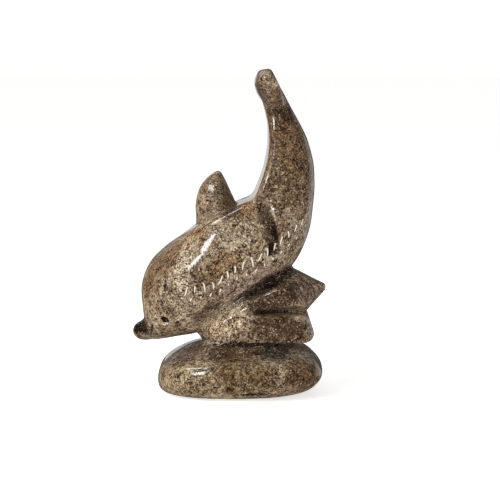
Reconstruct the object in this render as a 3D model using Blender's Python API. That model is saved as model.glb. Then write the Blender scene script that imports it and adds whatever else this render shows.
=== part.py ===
"""A diving dolphin on a curling wave, carved with its pebble-shaped base from one block of polished stone.

The carving stands on the flat underside of its base at Z = 0, with the origin under the middle of the base.
The beak points along -X, the tail rises to +Z, and the two flanks face -Y and +Y alike.
Lengths are in metres. The figure is drawn in units of its own height: FIGURE_UNITS of them reach from the
top of the base to the tip of the tail, which makes one unit a millimetre at the real size.
"""

import math
from collections import namedtuple

import bmesh
import bpy
from mathutils import Matrix, Vector
from mathutils.bvhtree import BVHTree

# Driving sizes of the base and of the stem that joins it to the wave.
BASE_LENGTH = 0.0765
BASE_DEPTH = 0.048
BASE_HEIGHT = 0.0257
STEM_DEPTH = 0.030

# Driving sizes of the figure.
FIGURE_HEIGHT = 0.1227
BODY_DEPTH = 0.036
WAVE_DEPTH = 0.031
WAVE_CORE_DEPTH = 0.013
FLUKE_SPAN = 0.042
FIN_THICKNESS = 0.022
EDGE_ROUND = 0.0008
EYE_LENGTH = 0.0038
EYE_HEIGHT = 0.0023
EYE_DEPTH = 0.0016
EYE_SLANT = 25.0

# The drawing's scale, and the fineness of the facets.
FIGURE_UNITS = 122.7
UNIT = FIGURE_HEIGHT / FIGURE_UNITS
BODY_SIDES = 32
BODY_STEPS = 3
BEAK_STEPS = 2
BASE_SIDES = 40
BEAK_SIDES = 20
STEM_STEPS = 3
BALL_STEPS = 2
SHARP_ANGLE = 35.0

# How square the beak's sections are: 2 is an ellipse, and more is nearer a rectangle.
BEAK_SQUARE = 2.3

# A section of the body: its centre, half its height across the spine, half its depth as a share of the
# body's, the direction in which its back edge points in degrees from +X, how square its back and its belly
# are, how much a square flank still swells (the share by which its edges are nearer to the middle plane),
# and how much its back face is turned to the near side, as the slope across its depth.
Station = namedtuple("Station", "x z half depth lean back belly swell turned")
BODY_STATIONS = [
    Station(-44.6, 3.6, 1.6, 0.14, 100, 2.0, 2.0, 0.0, 0.0),
    Station(-43.9, 4.0, 4.1, 0.34, 103, 2.0, 2.0, 0.0, 0.0),
    Station(-42.8, 4.7, 5.9, 0.47, 110, 2.1, 2.1, 0.0, 0.0),
    Station(-40.6, 6.9, 8.8, 0.61, 122, 2.1, 2.1, 0.0, 0.0),
    Station(-37.2, 10.7, 13.1, 0.75, 131, 2.1, 2.2, 0.0, 0.0),
    Station(-32.6, 15.0, 17.7, 0.87, 134, 2.1, 2.2, 0.1, 0.0),
    Station(-26.7, 21.5, 20.3, 0.96, 136, 2.1, 2.3, 0.2, 0.0),
    Station(-19.2, 27.9, 21.2, 1.00, 136, 2.4, 2.3, 0.2, 0.0),
    Station(-10.9, 33.9, 20.9, 1.00, 135, 3.3, 2.3, 0.2, 0.0),
    Station(-2.2, 40.0, 20.6, 0.98, 133, 7.0, 2.3, 0.2, 0.0),
    Station(6.6, 45.2, 20.1, 0.93, 134, 14.0, 2.4, 0.15, 0.01),
    Station(12.6, 50.3, 18.5, 0.86, 138, 16.0, 2.5, 0.08, 0.02),
    Station(17.8, 57.4, 15.4, 0.79, 149, 16.0, 2.6, 0.03, 0.03),
    Station(20.5, 68.4, 13.2, 0.72, 164, 14.0, 2.6, 0.0, 0.04),
    Station(21.9, 80.0, 11.3, 0.65, 174, 11.0, 2.6, 0.0, 0.05),
    Station(21.1, 90.3, 9.3, 0.57, 180, 8.0, 2.6, 0.0, 0.05),
    Station(18.9, 98.6, 7.3, 0.50, 184, 6.0, 2.6, 0.0, 0.04),
    Station(16.3, 105.6, 6.0, 0.49, 187, 4.0, 2.6, 0.0, 0.02),
    Station(13.6, 111.8, 5.0, 0.56, 198, 3.0, 2.6, 0.0, 0.0),
    Station(11.4, 116.4, 4.1, 0.66, 204, 2.6, 2.6, 0.0, 0.0),
]

# A section across the beak: its place along X, the height of its middle, half its height and half its
# width.
BeakStation = namedtuple("BeakStation", "x z half width")
BEAK_STATIONS = [
    BeakStation(-37.0, 4.0, 4.3, 5.0),
    BeakStation(-42.0, 3.8, 5.0, 5.3),
    BeakStation(-44.6, 3.5, 4.9, 5.1),
    BeakStation(-46.6, 3.1, 4.2, 4.5),
    BeakStation(-48.4, 3.0, 3.1, 3.6),
    BeakStation(-49.4, 2.9, 2.0, 2.4),
    BeakStation(-49.9, 2.9, 0.8, 0.9),
]

# A level of the dorsal fin: its height, its front and rear edge, and its thickness as a share of the fin's.
# Its section is rounded in front and ground to a bevel behind: shares of its length and of half its thickness.
FinLevel = namedtuple("FinLevel", "z front rear thick")
FIN_LEVELS = [
    FinLevel(44.0, -18.0, -1.0, 1.00),
    FinLevel(51.0, -20.6, 2.0, 1.00),
    FinLevel(55.7, -20.6, 1.2, 0.98),
    FinLevel(59.2, -20.8, -0.4, 0.92),
    FinLevel(62.4, -20.7, -2.3, 0.84),
    FinLevel(65.7, -20.1, -3.9, 0.74),
    FinLevel(69.0, -18.9, -5.4, 0.62),
    FinLevel(72.2, -16.9, -6.8, 0.48),
    FinLevel(74.5, -14.6, -8.0, 0.36),
    FinLevel(76.1, -12.4, -8.9, 0.24),
    FinLevel(76.8, -10.9, -9.7, 0.12),
]

FIN_OUTLINE = [
    (0.0, 0.0), (0.01, 0.22), (0.05, 0.46), (0.13, 0.7), (0.26, 0.88), (0.42, 0.97), (0.6, 1.0), (0.76, 0.94),
    (0.99, 0.24), (1.0, 0.0),
]

# The flukes: where their leading edge leaves the belly side of the tail, the lean of their chord, the
# outline of a cut through them as shares of its chord and thickness, and the cuts at shares of half the span.
FLUKE_ROOT = (21.4, 105.4)
FLUKE_LEAN = 117.0
FLUKE_OUTLINE = [
    (0.0, 0.25), (0.1, 0.03), (0.3, 0.0), (0.65, 0.0), (0.9, 0.02), (0.945, 0.1), (1.0, 0.36), (1.0, 0.5),
    (0.93, 0.7), (0.86, 0.84), (0.76, 0.95), (0.6, 0.99), (0.4, 0.94), (0.18, 0.84), (0.02, 0.62),
]
FlukeCut = namedtuple("FlukeCut", "share start end low high")
FLUKE_CUTS = [
    FlukeCut(0.0, 0.6, 17.8, 0.7, 9.8),
    FlukeCut(0.12, 0.8, 19.3, 0.5, 9.9),
    FlukeCut(0.3, 0.9, 20.4, 0.1, 9.7),
    FlukeCut(0.5, 2.6, 20.6, -0.4, 9.0),
    FlukeCut(0.7, 5.8, 20.3, -0.8, 8.0),
    FlukeCut(0.86, 9.8, 19.5, -0.6, 6.8),
    FlukeCut(0.96, 13.4, 18.7, 0.0, 5.6),
    FlukeCut(1.0, 15.6, 18.0, 0.7, 4.6),
]

# The wave: corners of each lobe on the near side, as x, depth as a share of half the wave's, and height.
# Each lobe is the hull of its softened corners and of their mirror images.
LEFT_LOBE = [
    (-17.6, 0.50, 0.2), (-19.0, 0.45, 2.2), (-21.0, 0.40, 4.4), (-13.0, 0.84, 0.2), (-12.6, 0.88, 7.4),
    (-5.4, 0.95, 12.0), (3.8, 1.0, 17.0), (-14.0, 0.55, 10.0), (-8.0, 0.60, 14.8), (1.2, 0.60, 22.4),
    (5.0, 1.0, 15.6), (6.0, 1.0, 11.6), (6.0, 0.97, 0.2), (-8.0, 0.94, 0.2), (-8.0, 0.96, 9.6),
]
SLAB = [
    (-7.0, 0.82, 0.3), (-7.0, 0.84, 7.6), (3.0, 1.0, 11.6), (28.4, 0.95, 11.8), (30.6, 0.55, 11.2),
    (30.2, 0.86, 0.2), (2.0, 0.50, 12.4), (27.0, 0.50, 11.6), (32.3, 0.62, 0.4), (33.5, 0.46, 2.2),
    (31.1, 0.72, 9.4), (32.9, 0.66, 3.0), (5.0, 0.97, 0.2),
]
PRONG = [
    (1.0, 0.70, 15.0), (1.0, 0.70, 17.5), (5.0, 0.86, 18.7), (10.6, 0.93, 22.0), (16.1, 0.96, 24.6),
    (21.4, 0.94, 25.4), (27.1, 0.34, 30.0), (22.0, 0.20, 32.4), (38.9, 0.11, 24.1), (38.6, 0.11, 22.6),
    (30.7, 0.46, 14.2), (27.6, 0.80, 17.2), (24.6, 0.88, 17.6), (13.3, 0.84, 16.2), (4.4, 0.80, 14.8),
    (22.0, 0.96, 20.6),
]
CORE_OUTLINE = [
    (-14.0, 1.2), (29.6, 1.2), (30.4, 7.0), (30.0, 13.0), (27.2, 27.0), (22.5, 34.0), (-2.0, 18.0),
]

# The base: levels as shares of its height, of half its length to the left and right, and of its depth, and
# how square each is seen from above.
BaseLevel = namedtuple("BaseLevel", "rise left right depth square")
BASE_LEVELS = [
    BaseLevel(0.000, 0.83, 0.61, 0.66, 2.3),
    BaseLevel(0.035, 0.93, 0.75, 0.78, 2.4),
    BaseLevel(0.100, 0.98, 0.85, 0.89, 2.6),
    BaseLevel(0.200, 1.00, 0.92, 0.96, 3.0),
    BaseLevel(0.330, 1.00, 0.97, 1.00, 3.4),
    BaseLevel(0.460, 0.98, 0.98, 1.00, 3.6),
    BaseLevel(0.580, 0.93, 0.94, 0.98, 3.5),
    BaseLevel(0.660, 0.88, 0.90, 0.94, 3.2),
    BaseLevel(0.730, 0.82, 0.86, 0.87, 2.8),
    BaseLevel(0.800, 0.74, 0.81, 0.77, 2.6),
    BaseLevel(0.870, 0.65, 0.73, 0.65, 2.5),
    BaseLevel(0.935, 0.52, 0.62, 0.51, 2.4),
    BaseLevel(0.975, 0.39, 0.49, 0.37, 2.3),
    BaseLevel(1.000, 0.27, 0.35, 0.20, 2.2),
]

# The stem between them, seen from above: x, and depth as a share of half the stem's.
StemPoint = namedtuple("StemPoint", "x share")
STEM_PLAN = [
    StemPoint(-17.4, 0.0), StemPoint(-17.0, 0.55), StemPoint(-15.5, 0.88), StemPoint(-12.0, 0.98),
    StemPoint(0.0, 1.0), StemPoint(7.0, 0.98), StemPoint(10.0, 0.88), StemPoint(12.0, 0.7),
    StemPoint(16.0, 0.54), StemPoint(21.0, 0.4), StemPoint(26.2, 0.24), StemPoint(28.0, 0.0),
]
StemLevel = namedtuple("StemLevel", "z grown")
STEM_LEVELS = [
    StemLevel(-10.5, 1.58), StemLevel(-7.0, 1.40), StemLevel(-3.5, 1.18), StemLevel(-1.0, 0.98),
    StemLevel(0.6, 0.88), StemLevel(3.0, 0.85),
]

# The eye is a drilled dimple on each flank.
EYE_PLACE = (-34.2, 10.7)


def figure_point(x, z, y=0.0):
    """A point of the drawing, placed on top of the base. y is in metres."""
    return Vector((x * UNIT, y, BASE_HEIGHT + z * UNIT))


def eased(rows, steps):
    """The rows with `steps` cuts to each span, on a smooth curve through all of their values."""
    fields = [list(row) for row in rows]
    reach = [0.0]
    for before, after in zip(fields, fields[1:]):
        reach.append(reach[-1] + max(math.dist(before[:2], after[:2]), 1e-6))

    def slope(i, k):
        low, high = max(i - 1, 0), min(i + 1, len(fields) - 1)
        return (fields[high][k] - fields[low][k]) / (reach[high] - reach[low])

    smooth = []
    for i in range(len(fields) - 1):
        span = reach[i + 1] - reach[i]
        for step in range(steps):
            t = step / steps
            weights = (2 * t**3 - 3 * t**2 + 1, t**3 - 2 * t**2 + t, -2 * t**3 + 3 * t**2, t**3 - t**2)
            smooth.append([
                weights[0] * fields[i][k] + weights[1] * span * slope(i, k)
                + weights[2] * fields[i + 1][k] + weights[3] * span * slope(i + 1, k)
                for k in range(len(fields[i]))
            ])
    smooth.append(fields[-1])
    return [type(rows[0])(*row) for row in smooth]


def ring(centre, across, half, side, width, squares, sides, swell=0.0, turned=0.0):
    """A closed section: a superellipse with half-axes half along `across` and width along `side`.

    squares holds how square it is towards `across` and away from it. Swell keeps a square side crowned, and
    turned lowers the face towards `across` at the end away from `side`.
    """
    points = []
    for k in range(sides):
        angle = 2 * math.pi * k / sides
        c, s = math.cos(angle), math.sin(angle)
        power = 2.0 / (squares[0] if c >= 0 else squares[1])
        out = math.copysign(abs(c) ** power, c)
        off = math.copysign(abs(s) ** power, s) * (1 - swell * (1 - power) * out**2)
        lowered = width * turned * (1 - off) * max(out, 0.0)
        points.append(centre + across * (half * out - lowered) + side * width * off)
    return points


def finish_object(name, bm):
    """An object of the bmesh, with its faces turned outwards."""
    bmesh.ops.recalc_face_normals(bm, faces=bm.faces)
    mesh = bpy.data.meshes.new(name)
    bm.to_mesh(mesh)
    bm.free()
    obj = bpy.data.objects.new(name, mesh)
    bpy.context.scene.collection.objects.link(obj)
    return obj


def lofted(name, rings):
    """A closed skin over rings of equally many points, with a flat cap at each end."""
    bm = bmesh.new()
    loops = [[bm.verts.new(point) for point in points] for points in rings]
    for lower, upper in zip(loops, loops[1:]):
        for k in range(len(lower)):
            after = (k + 1) % len(lower)
            bm.faces.new((lower[k], lower[after], upper[after], upper[k]))
    bm.faces.new(loops[0])
    bm.faces.new(loops[-1])
    return finish_object(name, bm)


def soft_hull(name, corners):
    """The convex solid over these corners, each of which is a small ball that ends at the corner."""
    middle = sum(corners, Vector()) / len(corners)
    ball = bmesh.new()
    bmesh.ops.create_icosphere(ball, subdivisions=BALL_STEPS, radius=EDGE_ROUND)
    bm = bmesh.new()
    for corner in corners:
        centre = corner + (middle - corner).normalized() * EDGE_ROUND
        for vertex in ball.verts:
            bm.verts.new(centre + vertex.co)
    ball.free()
    made = bmesh.ops.convex_hull(bm, input=bm.verts)
    inside = {v for v in made["geom_interior"] + made["geom_unused"] if isinstance(v, bmesh.types.BMVert)}
    bmesh.ops.delete(bm, geom=list(inside), context="VERTS")
    return finish_object(name, bm)


def dolphin_body():
    rings = []
    for s in eased(BODY_STATIONS, BODY_STEPS):
        lean = math.radians(s.lean)
        across = Vector((math.cos(lean), 0, math.sin(lean)))
        width = s.depth * BODY_DEPTH / 2
        rings.append(ring(figure_point(s.x, s.z), across, s.half * UNIT, Vector((0, 1, 0)), width,
                          (s.back, s.belly), BODY_SIDES, s.swell, s.turned))
    return lofted("dolphin_body", rings)


def beak():
    rings = [
        ring(figure_point(s.x, s.z), Vector((0, 0, 1)), s.half * UNIT, Vector((0, 1, 0)), s.width * UNIT,
             (BEAK_SQUARE, BEAK_SQUARE), BEAK_SIDES)
        for s in eased(BEAK_STATIONS, BEAK_STEPS)
    ]
    return lofted("beak", rings)


def dorsal_fin():
    far_side = [(u, -share) for u, share in reversed(FIN_OUTLINE[1:-1])]
    rings = [
        [
            figure_point(level.front + u * (level.rear - level.front), level.z,
                         share * level.thick * FIN_THICKNESS / 2)
            for u, share in FIN_OUTLINE + far_side
        ]
        for level in FIN_LEVELS
    ]
    return lofted("dorsal_fin", rings)


def tail_flukes():
    """Cuts from one tip of the flukes to the other, each an outline lying in the plane of the flank."""
    lean = math.radians(FLUKE_LEAN)
    along = Vector((math.cos(lean), 0, math.sin(lean)))
    towards_back = Vector((-math.sin(lean), 0, math.cos(lean)))
    far_cuts = [(-cut.share, cut) for cut in reversed(FLUKE_CUTS[1:])]
    cuts = far_cuts + [(cut.share, cut) for cut in FLUKE_CUTS]
    rings = []
    for share, cut in cuts:
        origin = figure_point(*FLUKE_ROOT, share * FLUKE_SPAN / 2)
        rings.append([
            origin + along * (cut.start + u * (cut.end - cut.start)) * UNIT
            + towards_back * (cut.low + w * (cut.high - cut.low)) * UNIT
            for u, w in FLUKE_OUTLINE
        ])
    return lofted("tail_flukes", rings)


def wave_lobe(name, corners):
    return soft_hull(name, [
        figure_point(x, z, side * share * WAVE_DEPTH / 2)
        for x, share, z in corners
        for side in (-1, 1)
    ])


def wave_core():
    """The plate that is left at the bottom of the grooves between the lobes."""
    rings = [
        [figure_point(x, z, side * WAVE_CORE_DEPTH / 2) for x, z in CORE_OUTLINE]
        for side in (-1, 1)
    ]
    return lofted("wave_core", rings)


def pebble_base():
    """A flat underside, a rounded flank up to the widest level, and a dome above it."""
    rings = []
    for level in BASE_LEVELS:
        middle = Vector(((level.right - level.left) * BASE_LENGTH / 4, 0, level.rise * BASE_HEIGHT))
        half = (level.right + level.left) * BASE_LENGTH / 4
        rings.append(ring(middle, Vector((1, 0, 0)), half, Vector((0, 1, 0)), level.depth * BASE_DEPTH / 2,
                          (level.square, level.square), BASE_SIDES))
    return lofted("pebble_base", rings)


def stem():
    """The short stem between the base and the underside of the wave, with a flared foot."""
    near_side = eased(STEM_PLAN, STEM_STEPS)
    far_side = [point._replace(share=-point.share) for point in reversed(near_side[1:-1])]
    rings = [
        [figure_point(x, level.z, share * level.grown * STEM_DEPTH / 2) for x, share in near_side + far_side]
        for level in STEM_LEVELS
    ]
    return lofted("stem", rings)


def eye_drill(body, side):
    """The lens-shaped cutter that sinks an eye into the flank on this side of the head."""
    corners = [vertex.co for vertex in body.data.vertices]
    skin = BVHTree.FromPolygons(corners, [list(face.vertices) for face in body.data.polygons])
    outside = figure_point(*EYE_PLACE, side * BODY_DEPTH)
    flank = skin.ray_cast(outside, Vector((0, -side, 0)))[0]
    half_axes = Matrix.Diagonal((EYE_LENGTH / 2, EYE_DEPTH, EYE_HEIGHT / 2, 1.0))
    turned = Matrix.Rotation(math.radians(EYE_SLANT), 4, "Y")
    placed = Matrix.Translation(flank) @ turned @ half_axes
    bm = bmesh.new()
    bmesh.ops.create_icosphere(bm, subdivisions=BALL_STEPS, radius=1.0, matrix=placed)
    return finish_object("eye_drill", bm)


def combine(target, other, operation):
    """Joins the other shape to the target, or cuts it away, and keeps it only as a wire helper."""
    other.hide_render = True
    other.display_type = "WIRE"
    boolean = target.modifiers.new(other.name, "BOOLEAN")
    boolean.operation = operation
    boolean.solver = "EXACT"
    boolean.object = other


def stone_material():
    material = bpy.data.materials.new("polished_fossil_stone")
    material.use_nodes = True
    shader = material.node_tree.nodes["Principled BSDF"]
    shader.inputs["Base Color"].default_value = (0.205, 0.150, 0.098, 1.0)
    shader.inputs["Roughness"].default_value = 0.18
    shader.inputs["Metallic"].default_value = 0.0
    return material


def main():
    for obj in list(bpy.data.objects):
        bpy.data.objects.remove(obj)
    carving = pebble_base()
    carving.name = "dolphin_carving"
    body = dolphin_body()
    shapes = [
        stem(), wave_core(), wave_lobe("left_lobe", LEFT_LOBE), wave_lobe("slab", SLAB),
        wave_lobe("prong", PRONG), body, beak(), tail_flukes(), dorsal_fin(),
    ]
    for shape in shapes:
        combine(carving, shape, "UNION")
    for side in (-1, 1):
        combine(carving, eye_drill(body, side), "DIFFERENCE")
    carving.data.materials.append(stone_material())
    carving.data.shade_smooth()
    carving.data.set_sharp_from_angle(angle=math.radians(SHARP_ANGLE))


main()
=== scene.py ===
"""The looks of the carved stone dolphin: one block of polished fossil stone, with its scratches and eyes.

The shape is made at the carving's real size from the same drawing as its solid: smooth forms are fused,
worn together as a polishing wheel does, and then cut with the marks and the eyes. The stone's grit, stains
and pores are in its finish, and so are some painted shade, shadow, highlights and reflections. Lengths
are in metres, and the drawing's own units are figure units, nearly one hundred and twenty-three from the
top of the base to the tip of the tail.
"""

import math
from collections import namedtuple

import bmesh
import bpy
from mathutils import Matrix, Vector, noise
from mathutils.bvhtree import BVHTree


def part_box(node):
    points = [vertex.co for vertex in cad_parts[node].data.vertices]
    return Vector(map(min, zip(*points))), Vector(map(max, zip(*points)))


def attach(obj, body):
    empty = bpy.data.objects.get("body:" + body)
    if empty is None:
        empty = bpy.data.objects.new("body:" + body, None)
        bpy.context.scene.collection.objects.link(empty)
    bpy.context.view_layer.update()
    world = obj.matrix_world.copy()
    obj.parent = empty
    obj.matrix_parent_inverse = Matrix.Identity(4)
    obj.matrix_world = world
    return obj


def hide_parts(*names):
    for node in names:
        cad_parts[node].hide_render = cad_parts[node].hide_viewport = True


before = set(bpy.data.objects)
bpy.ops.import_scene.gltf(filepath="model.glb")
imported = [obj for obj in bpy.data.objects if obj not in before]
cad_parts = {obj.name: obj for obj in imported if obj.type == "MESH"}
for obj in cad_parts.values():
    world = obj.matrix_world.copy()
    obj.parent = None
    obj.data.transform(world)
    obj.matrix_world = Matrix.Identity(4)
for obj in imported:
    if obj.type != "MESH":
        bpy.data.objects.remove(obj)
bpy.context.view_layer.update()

NODE = "dolphin_carving"
MM = 0.001

# Driving sizes. The drawing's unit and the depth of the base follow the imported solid's box.
LOWEST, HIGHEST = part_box(NODE)
BASE_HEIGHT = 25.7 * MM
FIGURE_UNITS = 122.7
UNIT = (HIGHEST[2] - BASE_HEIGHT) / FIGURE_UNITS
BASE_LENGTH = 76.5 * MM
BASE_DEPTH = HIGHEST[1] - LOWEST[1]
STEM_DEPTH = 30.0 * MM
BODY_DEPTH = 36.0 * MM
WAVE_DEPTH = 31.0 * MM
WAVE_CORE_DEPTH = 13.0 * MM
FLUKE_SPAN = 42.0 * MM
FIN_THICKNESS = 22.0 * MM
EDGE_ROUND = 0.8 * MM

# Fineness of the forms before they are fused, and how the fused block is worn.
BODY_SIDES = 112
BODY_STEPS = 8
BEAK_STEPS = 6
FIN_STEPS = 5
FLUKE_STEPS = 4
BASE_STEPS = 5
STEM_STEPS = 4
RING_SIDES = 96
BALL_CUTS = 4
GRAIN_SIZE = 0.64 * MM
WEAR_PASSES = 3
WEAR_STRENGTH = 0.5
HAND_WAVE = 9.0 * MM
HAND_WAVE_DEPTH = 0.16 * MM
FLAT_FOOT = 4 * HAND_WAVE_DEPTH
SHARP_ANGLE = 48.0

# How square the beak's sections are: 2 is an ellipse, and more is nearer a rectangle.
BEAK_SQUARE = 2.3

# A section of the body: its centre, half its height across the spine, half its depth as a share of the
# body's, the direction in which its back edge points in degrees from +X, how square its back and its belly
# are, how much a square flank still swells (the share by which its edges are nearer to the middle plane),
# and how much its back face is turned to the near side, as the slope across its depth.
Station = namedtuple("Station", "x z half depth lean back belly swell turned")
BODY_STATIONS = [
    Station(-44.6, 3.6, 1.6, 0.14, 100, 2.0, 2.0, 0.0, 0.0),
    Station(-43.9, 4.0, 4.1, 0.34, 103, 2.0, 2.0, 0.0, 0.0),
    Station(-42.8, 4.7, 5.9, 0.47, 110, 2.1, 2.1, 0.0, 0.0),
    Station(-40.6, 6.9, 8.8, 0.61, 122, 2.1, 2.1, 0.0, 0.0),
    Station(-37.2, 10.7, 13.1, 0.75, 131, 2.1, 2.2, 0.0, 0.0),
    Station(-32.6, 15.0, 17.7, 0.87, 134, 2.1, 2.2, 0.1, 0.0),
    Station(-26.7, 21.5, 20.3, 0.96, 136, 2.1, 2.3, 0.2, 0.0),
    Station(-19.2, 27.9, 21.2, 1.00, 136, 2.4, 2.3, 0.2, 0.0),
    Station(-10.9, 33.9, 20.9, 1.00, 135, 3.3, 2.3, 0.2, 0.0),
    Station(-2.2, 40.0, 20.6, 0.98, 133, 7.0, 2.3, 0.2, 0.0),
    Station(6.6, 45.2, 20.1, 0.93, 134, 14.0, 2.4, 0.15, 0.01),
    Station(12.6, 50.3, 18.5, 0.86, 138, 16.0, 2.5, 0.08, 0.02),
    Station(17.8, 57.4, 15.4, 0.79, 149, 16.0, 2.6, 0.03, 0.03),
    Station(20.5, 68.4, 13.2, 0.72, 164, 14.0, 2.6, 0.0, 0.04),
    Station(21.9, 80.0, 11.3, 0.65, 174, 11.0, 2.6, 0.0, 0.05),
    Station(21.1, 90.3, 9.3, 0.57, 180, 8.0, 2.6, 0.0, 0.05),
    Station(18.9, 98.6, 7.3, 0.50, 184, 6.0, 2.6, 0.0, 0.04),
    Station(16.3, 105.6, 6.0, 0.49, 187, 4.0, 2.6, 0.0, 0.02),
    Station(13.6, 111.8, 5.0, 0.56, 198, 3.0, 2.6, 0.0, 0.0),
    Station(11.4, 116.4, 4.1, 0.66, 204, 2.6, 2.6, 0.0, 0.0),
]

# A section across the beak: its place along X, the height of its middle, half its height and half its
# width.
BeakStation = namedtuple("BeakStation", "x z half width")
BEAK_STATIONS = [
    BeakStation(-37.0, 4.0, 4.3, 5.0),
    BeakStation(-42.0, 3.8, 5.0, 5.3),
    BeakStation(-44.6, 3.5, 4.9, 5.1),
    BeakStation(-46.6, 3.1, 4.2, 4.5),
    BeakStation(-48.4, 3.0, 3.1, 3.6),
    BeakStation(-49.4, 2.9, 2.0, 2.4),
    BeakStation(-49.9, 2.9, 0.8, 0.9),
]

# A level of the dorsal fin: its height, its front and rear edge, and its thickness as a share of the fin's.
# Its section is rounded in front and ground to a bevel behind: shares of its length and of half its
# thickness.
FinLevel = namedtuple("FinLevel", "z front rear thick")
FIN_LEVELS = [
    FinLevel(44.0, -18.0, -1.0, 1.00),
    FinLevel(51.0, -20.6, 2.0, 1.00),
    FinLevel(55.7, -20.6, 1.2, 0.98),
    FinLevel(59.2, -20.8, -0.4, 0.92),
    FinLevel(62.4, -20.7, -2.3, 0.84),
    FinLevel(65.7, -20.1, -3.9, 0.74),
    FinLevel(69.0, -18.9, -5.4, 0.62),
    FinLevel(72.2, -16.9, -6.8, 0.48),
    FinLevel(74.5, -14.6, -8.0, 0.36),
    FinLevel(76.1, -12.4, -8.9, 0.24),
    FinLevel(76.8, -10.9, -9.7, 0.12),
]

FIN_OUTLINE = [
    (0.0, 0.0), (0.01, 0.22), (0.05, 0.46), (0.13, 0.7), (0.26, 0.88), (0.42, 0.97), (0.6, 1.0),
    (0.76, 0.94), (0.99, 0.24), (1.0, 0.0),
]

# The flukes: where their leading edge leaves the belly side of the tail, the lean of their chord, the
# outline of a cut through them as shares of its chord and thickness, and the cuts at shares of half the
# span.
FLUKE_ROOT = (21.4, 105.4)
FLUKE_LEAN = 117.0
FLUKE_OUTLINE = [
    (0.0, 0.25), (0.1, 0.03), (0.3, 0.0), (0.65, 0.0), (0.9, 0.02), (0.945, 0.1), (1.0, 0.36),
    (1.0, 0.5), (0.93, 0.7), (0.86, 0.84), (0.76, 0.95), (0.6, 0.99), (0.4, 0.94), (0.18, 0.84),
    (0.02, 0.62),
]
FlukeCut = namedtuple("FlukeCut", "share start end low high")
FLUKE_CUTS = [
    FlukeCut(0.0, 0.6, 17.8, 0.7, 9.8),
    FlukeCut(0.12, 0.8, 19.3, 0.5, 9.9),
    FlukeCut(0.3, 0.9, 20.4, 0.1, 9.7),
    FlukeCut(0.5, 2.6, 20.6, -0.4, 9.0),
    FlukeCut(0.7, 5.8, 20.3, -0.8, 8.0),
    FlukeCut(0.86, 9.8, 19.5, -0.6, 6.8),
    FlukeCut(0.96, 13.4, 18.7, 0.0, 5.6),
    FlukeCut(1.0, 15.6, 18.0, 0.7, 4.6),
]

# The wave: corners of each lobe on the near side, as x, depth as a share of half the wave's, and height.
# Each lobe is the hull of its softened corners and of their mirror images.
LEFT_LOBE = [
    (-17.6, 0.50, 0.2), (-19.0, 0.45, 2.2), (-21.0, 0.40, 4.4), (-13.0, 0.84, 0.2), (-12.6, 0.88, 7.4),
    (-5.4, 0.95, 12.0), (3.8, 1.0, 17.0), (-14.0, 0.55, 10.0), (-8.0, 0.60, 14.8), (1.2, 0.60, 22.4),
    (5.0, 1.0, 15.6), (6.0, 1.0, 11.6), (6.0, 0.97, 0.2), (-8.0, 0.94, 0.2), (-8.0, 0.96, 9.6),
]
SLAB = [
    (-7.0, 0.82, 0.3), (-7.0, 0.84, 7.6), (3.0, 1.0, 11.6), (28.4, 0.95, 11.8), (30.6, 0.55, 11.2),
    (30.2, 0.86, 0.2), (2.0, 0.50, 12.4), (27.0, 0.50, 11.6), (32.3, 0.62, 0.4), (33.5, 0.46, 2.2),
    (31.1, 0.72, 9.4), (32.9, 0.66, 3.0), (5.0, 0.97, 0.2),
]
PRONG = [
    (1.0, 0.70, 15.0), (1.0, 0.70, 17.5), (5.0, 0.86, 18.7), (10.6, 0.93, 22.0), (16.1, 0.96, 24.6),
    (21.4, 0.94, 25.4), (27.1, 0.34, 30.0), (22.0, 0.20, 32.4), (38.9, 0.11, 24.1), (38.6, 0.11, 22.6),
    (30.7, 0.46, 14.2), (27.6, 0.80, 17.2), (24.6, 0.88, 17.6), (13.3, 0.84, 16.2), (4.4, 0.80, 14.8),
    (22.0, 0.96, 20.6),
]
CORE_OUTLINE = [
    (-14.0, 1.2), (29.6, 1.2), (30.4, 7.0), (30.0, 13.0), (27.2, 27.0), (22.5, 34.0), (-2.0, 18.0),
]

# The base: levels as shares of its height, of half its length to the left and right, and of its depth, and
# how square each is seen from above.
BaseLevel = namedtuple("BaseLevel", "rise left right depth square")
BASE_LEVELS = [
    BaseLevel(0.000, 0.83, 0.61, 0.66, 2.3),
    BaseLevel(0.035, 0.93, 0.75, 0.78, 2.4),
    BaseLevel(0.100, 0.98, 0.85, 0.89, 2.6),
    BaseLevel(0.200, 1.00, 0.92, 0.96, 3.0),
    BaseLevel(0.330, 1.00, 0.97, 1.00, 3.4),
    BaseLevel(0.460, 0.98, 0.98, 1.00, 3.6),
    BaseLevel(0.580, 0.93, 0.94, 0.98, 3.5),
    BaseLevel(0.660, 0.88, 0.90, 0.94, 3.2),
    BaseLevel(0.730, 0.82, 0.86, 0.87, 2.8),
    BaseLevel(0.800, 0.74, 0.81, 0.77, 2.6),
    BaseLevel(0.870, 0.65, 0.73, 0.65, 2.5),
    BaseLevel(0.935, 0.52, 0.62, 0.51, 2.4),
    BaseLevel(0.975, 0.39, 0.49, 0.37, 2.3),
    BaseLevel(1.000, 0.27, 0.35, 0.20, 2.2),
]

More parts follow.
